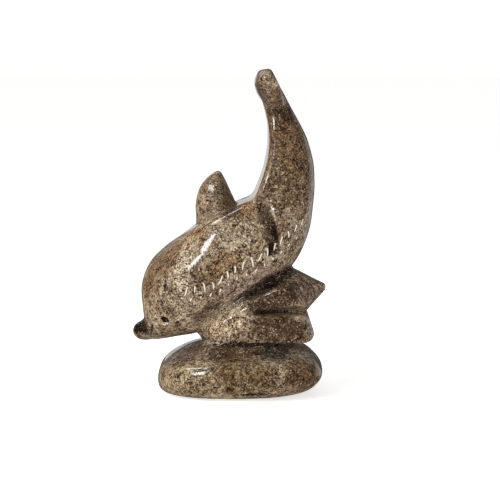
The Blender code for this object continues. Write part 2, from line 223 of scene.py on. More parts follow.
# The stem between the base and the wave, seen from above: x, and depth as a share of half the stem's. Each
# of its levels is grown from that plan.
StemPoint = namedtuple("StemPoint", "x share")
STEM_PLAN = [
    StemPoint(-17.4, 0.0), StemPoint(-17.0, 0.55), StemPoint(-15.5, 0.88), StemPoint(-12.0, 0.98),
    StemPoint(0.0, 1.0), StemPoint(7.0, 0.98), StemPoint(10.0, 0.88), StemPoint(12.0, 0.7),
    StemPoint(16.0, 0.54), StemPoint(21.0, 0.4), StemPoint(26.2, 0.24), StemPoint(28.0, 0.0),
]
StemLevel = namedtuple("StemLevel", "z grown")
STEM_LEVELS = [
    StemLevel(-10.5, 1.58), StemLevel(-7.0, 1.40), StemLevel(-3.5, 1.18), StemLevel(-1.0, 0.98),
    StemLevel(0.6, 0.88), StemLevel(3.0, 0.85),
]

# The eye is a drilled dimple on each side of the head, polished like the rest.
EYE_PLACE = (-34.2, 10.7)
EYE_LENGTH = 4.1 * MM
EYE_HEIGHT = 2.8 * MM
EYE_DEPTH = 1.3 * MM
EYE_SLANT = 25.0

# Rows of scratched strokes across the near flank. Each row: the points that it follows as x and z, how many
# strokes, their length, how much that varies, their greatest lean from upright in degrees, and the seed.
# The least lean is a share of the greatest. A stroke's middle handle stands off by up to a share of its
# length, and one tip is narrower, over a share of its length.
StrokeRow = namedtuple("StrokeRow", "name path count length spread lean seed")
STROKE_ROWS = [
    StrokeRow("upper_strokes", [(-24.5, 24.2), (-12.4, 26.8), (-3.4, 33.6), (6.0, 37.6), (14.2, 43.2),
                                (23.4, 51.2), (27.6, 54.6)], 16, 3.9 * MM, 1.1 * MM, 26.0, 4),
    StrokeRow("lower_strokes", [(-22.4, 20.2), (-11.6, 22.8), (-2.4, 29.4), (7.6, 33.6), (16.0, 39.6),
                                (25.0, 47.4)], 13, 1.5 * MM, 0.5 * MM, 35.0, 9),
]
STROKE_WIDTH = 0.62 * MM
STROKE_SINK = 0.02 * MM
STROKE_BOW = 0.22
STROKE_TIP_WIDTH = 0.45
STROKE_TIP_LENGTH = 0.3
STROKE_CUTS = 9
STROKE_SIDES = 8
LEAST_LEAN = -0.5
LEAN_SEED_STEP = 3.0
BOW_SEED_STEP = 7.0
FLANK_REACH = 60.0 * MM

# The stone's patterns, by the real width of each. The beds of the stone lie along the flanks, so a pattern
# is thinner across the flank than along it, and it runs in streaks where the form turns away. The patterns
# drift in long waves, and their rims are frayed.
BED_THINNING = 2.8
BED_TILT = (9.0, 0.0, 7.0)
DRIFT_SIZE = 6.0 * MM
DRIFT_REACH = 2.0 * MM
DRIFT_DETAIL = 2.0
FRAY_SIZE = 1.1 * MM
FRAY_REACH = 1.8 * MM
FRAY_DETAIL = 1.0
CLOUD_SIZE = 11.0 * MM
GROUND_STOPS = [(0.30, "#6E5642"), (0.42, "#8B7763"), (0.52, "#9C8B74"), (0.68, "#AD9F8A")]
STAIN_AND_PAINTED_LIGHT_GRAIN = 3.5 * MM
STAIN_AND_PAINTED_LIGHT_RAGGED = 1.9
STAIN_AND_PAINTED_LIGHT_SOFT = 0.28
# The grit: broad mottling, shells that each have a tone of their own, the dark matrix in the gaps between
# them, and fine grit. Gaps and rims are shares of a shell's size.
MOTTLE_SIZE = 3.2 * MM
MOTTLE_SHARE = 0.8
SHELL_SIZE = 1.7 * MM
SHELL_SHARE = 0.22
GAP_SIZE = 4.0 * MM
GAP_SPREAD = (0.35, 0.7)
GAP_WIDTHS = (0.03, 0.14)
GAP_RIM = (-0.03, 0.05)
GAP_MIDDLE = 0.15
GAP_SHARE = 0.40
GRIT_SIZE = 0.8 * MM
GRIT_SHARE = 0.95
# The tones that these patterns give the ground together. The ground is multiplied by twice the tone.
TONE_STOPS = [(0.0, "#24150A"), (0.25, "#755F49"), (0.5, "#BDBCBA"), (0.78, "#E8EAEB"), (1.0, "#FFFFFF")]
TONE_MIDDLE = 0.5
TONE_GAIN = 2.0
# Larger fragments, each a tone of its own inside a dark rim. Radii and rims are shares of their spacing.
CLAST_SIZE = 3.4 * MM
CLAST_SHARE = 0.24
CLAST_RADII = (0.14, 0.44)
CLAST_SOFT = 0.05
CLAST_STRENGTH = 0.4
CLAST_RIM = (0.08, 0.02)
CLAST_RIM_STRENGTH = 0.7
CLAST_STOPS = [(0.0, "#AF9F83"), (0.3, "#744A31"), (0.42, "#77706C"), (0.6, "#3A2A1F"), (0.72, "#8F7855")]
VEIN_SIZE = 5.0 * MM
VEIN_WIDTH = 0.025
VEIN_COLOUR = "#33200F"
VEIN_STRENGTH = 0.6
# Where the soft spots and the pores crowd.
CROWD_SIZE = 7.0 * MM
CROWD_SPREAD = (0.38, 0.66)
# Soft spots: their width, how much they are bent, the shift of their pattern, where it starts and is full,
# how much they gather where the stone is crowded, their colour and strength.
Spots = namedtuple("Spots", "name width bend shift low high gather colour strength")
SOFT_SPOTS = [
    Spots("pale crumbs", 0.9 * MM, 0.6, 0.31, 0.61, 0.68, 0.30, "#CDBFA2", 0.65),
    Spots("bent shells", 1.4 * MM, 1.6, 0.53, 0.60, 0.64, 0.35, "#3B2415", 0.7),
]
# Crisp open pores: how far apart, least and largest radius as shares of that, and the share of the places
# that have one, where pores are few and where they crowd.
Pores = namedtuple("Pores", "name apart least most few many")
PORES = [
    Pores("pinholes", 1.15 * MM, 0.18, 0.46, 0.26, 0.66),
    Pores("open pores", 2.3 * MM, 0.12, 0.32, 0.10, 0.45),
]
PORE_COLOUR = "#1C0E05"
PORE_DEPTH = 0.12 * MM
PORE_RELIEF = 0.35
PORE_RIM = (-0.03, 0.04)

# The polish: calcite with a coat of wax, duller inside the pores. The marks are powder, the eye is wet.
STONE_IOR = 1.55
STONE_ROUGHNESS = 0.12
PORE_ROUGHNESS = 0.3
WAX_WEIGHT = 0.35
WAX_ROUGHNESS = 0.04
SCRATCH_GRAIN = 0.35 * MM
EYE_GRAIN = 0.6 * MM

# Stains that the stone shows, and painted shade, shadow, highlights and reflections: the middle of each in
# the drawing's units, its half length, height and depth in millimetres, its turn in degrees, its colour and
# how strong it is.
StainAndPaintedLight = namedtuple("StainAndPaintedLight", "x y z length height depth turn colour strength")
STAINS_AND_PAINTED_LIGHT = [
    # The tail: darker than the body, greyer at its tip, the grey partly the stone and partly a painted
    # reflection on the near fluke's facet, with a light oval and a dark band below that.
    StainAndPaintedLight(19.0, -6, 92.0, 17.0, 35.0, 16, 8, "#5C4228", 0.8),
    # Greyer tip: partly the stone, partly a painted reflection on the near fluke's facet.
    StainAndPaintedLight(8.5, -7, 115.0, 6.5, 9.5, 12, -15, "#57463A", 0.95),
    StainAndPaintedLight(13.3, -5, 107.6, 4.6, 2.2, 8, -38, "#7C6D66", 0.85),
    StainAndPaintedLight(18.0, -5, 103.0, 6.5, 3.6, 8, -20, "#30200F", 0.85),
    # The fin.
    StainAndPaintedLight(-12.0, -9, 67.0, 6.0, 12.0, 10, 0, "#84725E", 0.7),
    StainAndPaintedLight(-6.0, -9, 64.0, 4.0, 8.0, 10, 20, "#55422F", 0.7),
    # The back and the flank: iron stains, a cream band behind the head, a dark red band under the fin's
    # ledge that is partly the stone and partly a painted dark reflection on the shoulder, grey under the
    # marks, and a dark throat.
    StainAndPaintedLight(-24.0, -14, 47.0, 10.0, 3.6, 12, 40, "#957650", 0.6),
    StainAndPaintedLight(-36.0, -10, 34.0, 5.0, 16.0, 14, -30, "#735B41", 0.8),
    StainAndPaintedLight(-25.5, -17, 33.0, 3.4, 15.0, 12, -8, "#BCAE98", 0.85),
    # Under the fin's ledge: dark red stone with a painted dark reflection on the shoulder.
    StainAndPaintedLight(-3.5, -15, 59.0, 5.5, 1.8, 8, 25, "#3A2114", 0.85),
    StainAndPaintedLight(3.2, -13, 61.0, 4.0, 3.0, 8, 10, "#9A7750", 0.75),
    StainAndPaintedLight(-3.0, -16, 49.5, 9.0, 6.5, 10, 25, "#A99B85", 0.85),
    StainAndPaintedLight(-14.8, -17, 29.6, 5.0, 3.0, 8, 20, "#5A3F28", 0.7),
    StainAndPaintedLight(-8.0, -17, 36.0, 9.0, 4.5, 8, 30, "#7A5C38", 0.6),
    StainAndPaintedLight(5.0, -15, 27.5, 13.0, 5.5, 10, 35, "#A08C7E", 0.85),
    StainAndPaintedLight(-14.5, -14, 14.0, 8.0, 3.4, 8, 28, "#453227", 0.8),
    # A dark vein that crosses the root of the tail, and a painted highlight above it: a thin white spike.
    StainAndPaintedLight(13.6, -15, 49.0, 3.2, 9.0, 10, 6, "#3A2413", 0.85),
    StainAndPaintedLight(14.6, -15, 51.0, 1.5, 4.5, 8, 14, "#1A0D06", 1.0),
    StainAndPaintedLight(13.2, -15, 43.0, 1.6, 3.6, 8, -12, "#1A0D06", 1.0),
    StainAndPaintedLight(10.5, -15, 57.5, 3.6, 4.4, 8, 0, "#43342A", 0.8),
    # Painted highlight: the thin white spike at the root of the tail.
    StainAndPaintedLight(14.2, -14, 61.0, 0.55, 3.2, 6, 14, "#EFEAE2", 1.0),
    # The head: a brown jaw, a nearly black beak, a dark nick behind the brow, a painted highlight on the
    # lower rim of the eye, a dark line at the beak's crease, and painted shade in the crease under the jaw.
    StainAndPaintedLight(-32.0, -14, 4.0, 7.0, 5.5, 12, 10, "#786350", 0.6),
    StainAndPaintedLight(-45.5, -2, 6.0, 6.8, 5.4, 9, 10, "#150A05", 1.0),
    StainAndPaintedLight(-34.0, -13, 25.6, 0.6, 2.4, 6, -12, "#140B06", 1.0),
    # Painted highlight on the lower rim of the drilled eye.
    StainAndPaintedLight(-34.0, -13, 8.6, 1.6, 0.5, 5, 25, "#D8CDB8", 1.0),
    StainAndPaintedLight(-40.6, -6, 5.2, 0.7, 4.0, 9, -12, "#2A1A10", 0.9),
    # Painted shade in the crease between the jaw and the wave.
    StainAndPaintedLight(-19.0, -10, 0.6, 6.0, 1.0, 12, 12, "#20130B", 0.9),
    # The wave: cream to the left and dark brown to the right, partly the stone and partly painted shading,
    # light on the left and shade on the right, and painted shade in the recess under the belly.
    StainAndPaintedLight(-6.5, -15, 9.0, 11.0, 7.5, 10, 25, "#BAA78B", 0.9),
    StainAndPaintedLight(17.5, -15, 6.0, 14.0, 7.0, 14, 0, "#462F1A", 0.85),
    StainAndPaintedLight(15.5, -15, 21.0, 14.0, 6.5, 14, 22, "#442C1F", 0.9),
    StainAndPaintedLight(31.0, -6, 22.0, 7.0, 5.5, 12, -20, "#75635A", 0.75),
    # Painted shade in the recess between the belly and the prong.
    StainAndPaintedLight(18.5, -8, 29.5, 12.0, 2.8, 12, 35, "#1C0F08", 0.95),
    StainAndPaintedLight(8.0, -12, 25.0, 14.0, 2.4, 12, 33, "#26160D", 0.85),
    # The stem and the base: a painted shadow under the wave, cream to the left and brown to the right,
    # partly the stone and partly painted shading, light on the left and shade on the right, greys on the
    # dome, two of them painted reflections of the surroundings and of the wave's underside, and a dark line
    # at the foot that is the painted shadow of a chip in its lower front edge.
    StainAndPaintedLight(-24.0, -22, -14.5, 13.0, 7.0, 14, 0, "#9A8669", 0.8),
    # Painted reflection of the surroundings on the left of the dome.
    StainAndPaintedLight(-26.0, -12, -5.0, 11.0, 4.6, 14, 22, "#665850", 0.85),
    # Painted shadow under the wave: on the stem, and a dark line under the wave's bottom edge.
    StainAndPaintedLight(-4.0, -16, -3.5, 13.0, 5.0, 10, 0, "#3F2D1B", 0.9),
    StainAndPaintedLight(4.0, -14, -0.6, 17.0, 1.0, 6, 0, "#140B06", 0.95),
    StainAndPaintedLight(2.5, -22, -14.0, 15.0, 9.0, 12, 0, "#67512F", 0.75),
    # Painted reflection of the wave's underside on the dome.
    StainAndPaintedLight(15.5, -12, -4.5, 7.5, 4.0, 12, 0, "#34322F", 1.0),
    StainAndPaintedLight(28.0, -16, -13.0, 10.0, 8.0, 16, 20, "#5C4021", 0.8),
    StainAndPaintedLight(29.0, -10, -5.5, 7.0, 3.6, 10, -20, "#8C8075", 0.9),
    # Painted shadow of a chip in the lower front edge of the base.
    StainAndPaintedLight(5.0, -22, -21.9, 7.5, 0.7, 8, 0, "#140B06", 1.0),
]

# The setting: what the camera looks at, how far, how high and how wide, how far the table reaches, and how
# bright the table and the surroundings are: seen, as a light, and in the polish.
VIEW_MIDDLE = Vector((4.13 * MM, 0.0, 66.1 * MM))
VIEW_DISTANCE = 600.0 * MM
VIEW_ELEVATION = 8.0
VIEW_WIDTH = 229.35 * MM
FLOOR_REACH = 20.0
TABLE_GLOW = 0.61
BACKDROP_STRENGTH = 1.1
FILL_STRENGTH = 0.55
ROOM_STRENGTH = 0.06

# Soft lamps: the direction that each stands in, how far, its width, height and power, and whether it lights
# the stone or shows in its polish. The window and the softbox give the crisp streaks on the flank and at
# the fin's foot, the papers and the wall give the pale faces and rims that turn away, and the key softbox
# lights it all.
Lamp = namedtuple("Lamp", "name towards away width height power lights shows")
LAMPS = [
    Lamp("window", (-0.31, -0.934, 0.18), 0.9, 0.19, 0.19, 1.65, False, True),
    Lamp("high_softbox", (-0.40, -0.62, 0.70), 0.9, 0.38, 0.12, 1.35, False, True),
    Lamp("paper_behind", (-0.13, 0.99, 0.02), 1.0, 0.36, 0.31, 0.26, False, True),
    Lamp("paper_beside", (0.84, 0.54, -0.02), 1.0, 0.9, 0.7, 1.3, False, True),
    Lamp("grey_wall", (-0.44, 0.75, 0.49), 1.0, 0.55, 0.45, 0.4, False, True),
    Lamp("key_softbox", (-0.78, -0.42, 0.50), 1.2, 0.9, 0.9, 13.5, True, False),
]


def hex_colour(code):
    """A colour that is given as an sRGB hex value, in the linear values that the shaders use."""
    shares = [int(code[i:i + 2], 16) / 255 for i in (1, 3, 5)]
    return tuple(s / 12.92 if s <= 0.04045 else ((s + 0.055) / 1.055) ** 2.4 for s in shares) + (1.0,)


def add(tree, kind, inputs=None, stops=None, **settings):
    """A node with its settings, its colour stops, and its inputs set or linked."""
    made = tree.nodes.new(kind)
    for name, value in settings.items():
        setattr(made, name, value)
    if stops:
        ramp = made.color_ramp.elements
        for place, colour in stops[1:-1]:
            ramp.new(place)
        for stop, (place, colour) in zip(ramp, stops):
            stop.position = place
            stop.color = hex_colour(colour)
    for name, value in (inputs or {}).items():
        if isinstance(value, bpy.types.NodeSocket):
            tree.links.new(value, made.inputs[name])
        else:
            made.inputs[name].default_value = value
    return made


def figure_point(x, z, y=0.0):
    """A point of the drawing, placed on top of the base. y is in metres."""
    return Vector((x * UNIT, y, BASE_HEIGHT + z * UNIT))


def eased(rows, steps):
    """The rows with `steps` cuts to each span, on a smooth curve through all of their values.

    The spans are paced by the rows' first two values.
    """
    fields = [list(row) for row in rows]
    reach = [0.0]
    for before, after in zip(fields, fields[1:]):
        reach.append(reach[-1] + math.dist(before[:2], after[:2]))

    def slope(i, k):
        low, high = max(i - 1, 0), min(i + 1, len(fields) - 1)
        return (fields[high][k] - fields[low][k]) / (reach[high] - reach[low])

    smooth = []
    for i in range(len(fields) - 1):
        span = reach[i + 1] - reach[i]
        for step in range(steps):
            t = step / steps
            weights = (2 * t**3 - 3 * t**2 + 1, t**3 - 2 * t**2 + t, -2 * t**3 + 3 * t**2, t**3 - t**2)
            smooth.append([
                weights[0] * fields[i][k] + weights[1] * span * slope(i, k)
                + weights[2] * fields[i + 1][k] + weights[3] * span * slope(i + 1, k)
                for k in range(len(fields[i]))
            ])
    smooth.append(fields[-1])
    return [type(rows[0])(*row) for row in smooth]


def ring(centre, across, half, side, width, squares, sides, swell=0.0, turned=0.0):
    """A closed section: a superellipse with half-axes half along `across` and width along `side`.

    squares holds how square it is towards `across` and away from it. Swell keeps a square side crowned, and
    turned lowers the face towards `across` at the end away from `side`.
    """
    points = []
    for k in range(sides):
        angle = 2 * math.pi * k / sides
        c, s = math.cos(angle), math.sin(angle)
        power = 2.0 / (squares[0] if c >= 0 else squares[1])
        out = math.copysign(abs(c) ** power, c)
        off = math.copysign(abs(s) ** power, s) * (1 - swell * (1 - power) * out**2)
        lowered = width * turned * (1 - off) * max(out, 0.0)
        points.append(centre + across * (half * out - lowered) + side * width * off)
    return points


def in_scene(name, data):
    """An object of this data in the scene."""
    obj = bpy.data.objects.new(name, data)
    bpy.context.scene.collection.objects.link(obj)
    return obj


def finish_object(name, bm):
    """An object of the bmesh, with its faces turned outwards."""
    bmesh.ops.recalc_face_normals(bm, faces=bm.faces)
    mesh = bpy.data.meshes.new(name)
    bm.to_mesh(mesh)
    bm.free()
    return in_scene(name, mesh)


def lofted(name, rings):
    """A closed skin over rings of equally many points, with a flat cap at each end."""
    bm = bmesh.new()
    loops = [[bm.verts.new(point) for point in points] for points in rings]
    for lower, upper in zip(loops, loops[1:]):
        for k in range(len(lower)):
            after = (k + 1) % len(lower)
            bm.faces.new((lower[k], lower[after], upper[after], upper[k]))
    bm.faces.new(loops[0])
    bm.faces.new(loops[-1])
    return finish_object(name, bm)


def soft_hull(name, corners):
    """The convex solid over these corners, each of which is a small ball that ends at the corner."""
    middle = sum(corners, Vector()) / len(corners)
    ball = bmesh.new()
    bmesh.ops.create_icosphere(ball, subdivisions=BALL_CUTS, radius=EDGE_ROUND)
    bm = bmesh.new()
    for corner in corners:
        centre = corner + (middle - corner).normalized() * EDGE_ROUND
        for vertex in ball.verts:
            bm.verts.new(centre + vertex.co)
    ball.free()
    made = bmesh.ops.convex_hull(bm, input=bm.verts)
    inside = {v for v in made["geom_interior"] + made["geom_unused"] if isinstance(v, bmesh.types.BMVert)}
    bmesh.ops.delete(bm, geom=list(inside), context="VERTS")
    return finish_object(name, bm)


def dolphin_body():
    """The body from the head to the root of the flukes, as sections across its spine."""
    rings = []
    for s in eased(BODY_STATIONS, BODY_STEPS):
        lean = math.radians(s.lean)
        across = Vector((math.cos(lean), 0, math.sin(lean)))
        width = s.depth * BODY_DEPTH / 2
        rings.append(ring(figure_point(s.x, s.z), across, s.half * UNIT, Vector((0, 1, 0)), width,
                          (s.back, s.belly), BODY_SIDES, s.swell, s.turned))
    return lofted("dolphin_body", rings)


def beak():
    """The short beak, as upright sections."""
    rings = [
        ring(figure_point(s.x, s.z), Vector((0, 0, 1)), s.half * UNIT, Vector((0, 1, 0)), s.width * UNIT,
             (BEAK_SQUARE, BEAK_SQUARE), RING_SIDES)
        for s in eased(BEAK_STATIONS, BEAK_STEPS)
    ]
    return lofted("beak", rings)


def dorsal_fin():
    """The dorsal fin, as level sections from its root in the back to its tip."""
    far_side = [(u, -share) for u, share in reversed(FIN_OUTLINE[1:-1])]
    rings = [
        [
            figure_point(level.front + u * (level.rear - level.front), level.z,
                         share * level.thick * FIN_THICKNESS / 2)
            for u, share in FIN_OUTLINE + far_side
        ]
        for level in eased(FIN_LEVELS, FIN_STEPS)
    ]
    return lofted("dorsal_fin", rings)


def tail_flukes():
    """Cuts from one tip of the flukes to the other, each an outline lying in the plane of the flank."""
    lean = math.radians(FLUKE_LEAN)
    along = Vector((math.cos(lean), 0, math.sin(lean)))
    towards_back = Vector((-math.sin(lean), 0, math.cos(lean)))
    far_cuts = [cut._replace(share=-cut.share) for cut in reversed(FLUKE_CUTS[1:])]
    rings = []
    for cut in eased(far_cuts + FLUKE_CUTS, FLUKE_STEPS):
        origin = figure_point(*FLUKE_ROOT, cut.share * FLUKE_SPAN / 2)
        rings.append([
            origin + along * (cut.start + u * (cut.end - cut.start)) * UNIT
            + towards_back * (cut.low + w * (cut.high - cut.low)) * UNIT
            for u, w in FLUKE_OUTLINE
        ])
    return lofted("tail_flukes", rings)


def wave_lobe(name, corners):
    """One lobe of the wave, the same on both sides."""
    return soft_hull(name, [
        figure_point(x, z, side * share * WAVE_DEPTH / 2)
        for x, share, z in corners
        for side in (-1, 1)
    ])


def wave_core():
    """The plate that is left at the bottom of the grooves between the lobes."""
    rings = [
        [figure_point(x, z, side * WAVE_CORE_DEPTH / 2) for x, z in CORE_OUTLINE]
        for side in (-1, 1)
    ]
    return lofted("wave_core", rings)


def pebble_base():
    """A flat underside, a rounded flank up to the widest level, and a dome above it."""
    rings = []
    for level in eased(BASE_LEVELS, BASE_STEPS):
        middle = Vector(((level.right - level.left) * BASE_LENGTH / 4, 0, level.rise * BASE_HEIGHT))
        half = (level.right + level.left) * BASE_LENGTH / 4
        rings.append(ring(middle, Vector((1, 0, 0)), half, Vector((0, 1, 0)), level.depth * BASE_DEPTH / 2,
                          (level.square, level.square), RING_SIDES))
    return lofted("pebble_base", rings)


def stem():
    """The short stem between the base and the underside of the wave, with a flared foot."""
    near_side = eased(STEM_PLAN, STEM_STEPS)
    far_side = [point._replace(share=-point.share) for point in reversed(near_side[1:-1])]
    rings = [
        [
            figure_point(point.x, level.z, point.share * level.grown * STEM_DEPTH / 2)
            for point in near_side + far_side
        ]
        for level in eased(STEM_LEVELS, STEM_STEPS)
    ]
    return lofted("stem", rings)


def evaluated_mesh(obj):
    """A plain mesh of the object as its modifiers make it."""
    seen = obj.evaluated_get(bpy.context.evaluated_depsgraph_get())
    return bpy.data.meshes.new_from_object(seen)


def settle(obj):
    """Applies the object's modifiers to its mesh."""
    mesh = evaluated_mesh(obj)
    obj.modifiers.clear()
    obj.data = mesh


def fused(name, shapes):
    """One object of all these closed shapes, worn together."""
    bm = bmesh.new()
    for shape in shapes:
        bm.from_mesh(shape.data)
        bpy.data.objects.remove(shape)
    block = finish_object(name, bm)
    remesh = block.modifiers.new("fuse", "REMESH")
    remesh.mode = "VOXEL"
    remesh.voxel_size = GRAIN_SIZE
    remesh.adaptivity = 0.0
    wear = block.modifiers.new("wear", "SMOOTH")
    wear.factor = WEAR_STRENGTH
    wear.iterations = WEAR_PASSES
    settle(block)
    return block


def hand_worked(block):
    """Moves the skin in and out by the slight waves that polishing by hand leaves, above the flat foot."""
    bm = bmesh.new()
    bm.from_mesh(block.data)
    bm.normal_update()
    for vertex in bm.verts:
        if vertex.co.z > FLAT_FOOT:
            swell = noise.noise(vertex.co / HAND_WAVE) * HAND_WAVE_DEPTH
            vertex.co += vertex.normal * swell
    bm.to_mesh(block.data)
    bm.free()


def stroke_tree():
    """Short strokes at even places along a path, laid on the flank behind them."""
    tree = bpy.data.node_groups.new("scratched_strokes", "GeometryNodeTree")
    sockets = (
        ("Geometry", "NodeSocketGeometry"), ("Count", "NodeSocketInt"), ("Length", "NodeSocketFloat"),
        ("Spread", "NodeSocketFloat"), ("Lean", "NodeSocketFloat"), ("Width", "NodeSocketFloat"),
        ("Sink", "NodeSocketFloat"), ("Reach", "NodeSocketFloat"), ("Seed", "NodeSocketInt"),
        ("Flank", "NodeSocketObject"), ("Finish", "NodeSocketMaterial"),
    )
    for name, kind in sockets:
        tree.interface.new_socket(name=name, in_out="INPUT", socket_type=kind)
    tree.interface.new_socket(name="Geometry", in_out="OUTPUT", socket_type="NodeSocketGeometry")
    given = add(tree, "NodeGroupInput").outputs
    places = add(tree, "GeometryNodeCurveToPoints", {"Curve": given["Geometry"], "Count": given["Count"]})
    stroke = add(tree, "GeometryNodeCurveQuadraticBezier", {
        "Resolution": STROKE_CUTS, "Start": (0.0, 0.0, -0.5), "Middle": (STROKE_BOW, 0.0, 0.0),
        "End": (0.0, 0.0, 0.5)})
    shorter = add(tree, "ShaderNodeMath", {0: given["Length"], 1: given["Spread"]}, operation="SUBTRACT")
    longer = add(tree, "ShaderNodeMath", {0: given["Length"], 1: given["Spread"]}, operation="ADD")
    length = add(tree, "FunctionNodeRandomValue", {
        2: shorter.outputs[0], 3: longer.outputs[0], "Seed": given["Seed"]}, data_type="FLOAT")
    bow_seed = add(tree, "ShaderNodeMath", {0: given["Seed"], 1: BOW_SEED_STEP}, operation="ADD")
    bow = add(tree, "FunctionNodeRandomValue", {
        2: -1.0, 3: 1.0, "Seed": bow_seed.outputs[0]}, data_type="FLOAT")
    bowed = add(tree, "ShaderNodeMath", {0: bow.outputs[1], 1: length.outputs[1]}, operation="MULTIPLY")
    size = add(tree, "ShaderNodeCombineXYZ", {0: bowed.outputs[0], 1: 1.0, 2: length.outputs[1]})
    back = add(tree, "ShaderNodeMath", {0: given["Lean"], 1: LEAST_LEAN}, operation="MULTIPLY")
    tilt_seed = add(tree, "ShaderNodeMath", {0: given["Seed"], 1: LEAN_SEED_STEP}, operation="ADD")
    tilt = add(tree, "FunctionNodeRandomValue", {
        2: back.outputs[0], 3: given["Lean"], "Seed": tilt_seed.outputs[0]}, data_type="FLOAT")
    turn = add(tree, "ShaderNodeCombineXYZ", {1: tilt.outputs[1]})
    laid = add(tree, "GeometryNodeInstanceOnPoints", {
        "Points": places.outputs["Points"], "Instance": stroke.outputs["Curve"],
        "Rotation": turn.outputs[0], "Scale": size.outputs[0]})
    loose = add(tree, "GeometryNodeRealizeInstances", {"Geometry": laid.outputs["Instances"]})
    position = add(tree, "GeometryNodeInputPosition")
    away = add(tree, "ShaderNodeCombineXYZ", {1: given["Reach"]})
    outside = add(tree, "ShaderNodeVectorMath", {
        0: position.outputs[0], 1: away.outputs[0]}, operation="SUBTRACT")
    carved = add(tree, "GeometryNodeObjectInfo", {"Object": given["Flank"]})
    ray = add(tree, "GeometryNodeRaycast", {
        "Target Geometry": carved.outputs["Geometry"], "Source Position": outside.outputs[0],
        "Ray Direction": (0.0, 1.0, 0.0)})
    depth = add(tree, "ShaderNodeVectorMath", {
        0: ray.outputs["Hit Normal"], "Scale": given["Sink"]}, operation="SCALE")
    bed = add(tree, "ShaderNodeVectorMath", {
        0: ray.outputs["Hit Position"], 1: depth.outputs[0]}, operation="SUBTRACT")
    on_flank = add(tree, "GeometryNodeSetPosition", {
        "Geometry": loose.outputs["Geometry"], "Position": bed.outputs[0]})
    along = add(tree, "GeometryNodeSplineParameter")
    taper = add(tree, "ShaderNodeMapRange", {
        0: along.outputs["Factor"], 1: 0.0, 2: STROKE_TIP_LENGTH, 3: STROKE_TIP_WIDTH, 4: 1.0},
        interpolation_type="SMOOTHSTEP")
    width = add(tree, "ShaderNodeMath", {0: given["Width"], 1: taper.outputs[0]}, operation="MULTIPLY")
    rim = add(tree, "GeometryNodeCurvePrimitiveCircle", {"Resolution": STROKE_SIDES, "Radius": 0.5})
    tube = add(tree, "GeometryNodeCurveToMesh", {
        "Curve": on_flank.outputs["Geometry"], "Profile Curve": rim.outputs["Curve"],
        "Scale": width.outputs[0], "Fill Caps": True})
    real = add(tree, "GeometryNodeRealizeInstances", {"Geometry": tube.outputs["Mesh"]})
    finished = add(tree, "GeometryNodeSetMaterial", {
        "Geometry": real.outputs["Geometry"], "Material": given["Finish"]})
    add(tree, "NodeGroupOutput", {"Geometry": finished.outputs["Geometry"]})
    return tree


def set_inputs(modifier, values):
    """Sets a Geometry Nodes modifier's inputs, each by its socket's identifier."""
    for item in modifier.node_group.interface.items_tree:
        if item.in_out == "INPUT" and item.name in values:
            modifier[item.identifier] = values[item.name]


def stroke_cutter(row, tree, flank, finish):
    """The shapes that cut one row of strokes into the flank."""
    curve = bpy.data.curves.new(row.name, "CURVE")
    curve.dimensions = "3D"
    spline = curve.splines.new("POLY")
    spline.points.add(len(row.path) - 1)
    for point, (x, z) in zip(spline.points, row.path):
        point.co = (*figure_point(x, z), 1.0)
    holder = in_scene(row.name, curve)
    nodes = holder.modifiers.new("strokes", "NODES")
    nodes.node_group = tree
    set_inputs(nodes, {
        "Count": row.count, "Length": row.length, "Spread": row.spread, "Lean": math.radians(row.lean),
        "Width": STROKE_WIDTH, "Sink": STROKE_SINK, "Reach": FLANK_REACH, "Seed": row.seed,
        "Flank": flank, "Finish": finish,
    })
    mesh = evaluated_mesh(holder)
    bpy.data.objects.remove(holder)
    return in_scene(row.name, mesh)


def eye_cutter(block, side, finish):
    """The lens-shaped cutter that sinks an eye into this side of the head."""
    skin = BVHTree.FromObject(block, bpy.context.evaluated_depsgraph_get())
    outside = figure_point(*EYE_PLACE, side * BODY_DEPTH)
    spot = skin.ray_cast(outside, Vector((0, -side, 0)))[0]
    half_axes = Matrix.Diagonal((EYE_LENGTH / 2, EYE_DEPTH, EYE_HEIGHT / 2, 1.0))
    turned = Matrix.Rotation(math.radians(EYE_SLANT), 4, "Y")
    placed = Matrix.Translation(spot) @ turned @ half_axes
    bm = bmesh.new()
    bmesh.ops.create_icosphere(bm, subdivisions=BALL_CUTS, radius=1.0, matrix=placed)
    cutter = finish_object("eye_cutter", bm)
    cutter.data.materials.append(finish)
    return cutter


def cut_away(block, cutters):
    """Cuts these shapes out of the block. The cut faces take the cutters' finishes."""
    for cutter in cutters:
        boolean = block.modifiers.new(cutter.name, "BOOLEAN")
        boolean.operation = "DIFFERENCE"
        boolean.solver = "EXACT"
        boolean.material_mode = "TRANSFER"
        boolean.object = cutter
    settle(block)
    for cutter in cutters:
        bpy.data.objects.remove(cutter)


def blank_material(name):
    """A material with its node tree and its shader."""
    material = bpy.data.materials.new(name)
    material.use_nodes = True
    return material, material.node_tree, material.node_tree.nodes["Principled BSDF"]


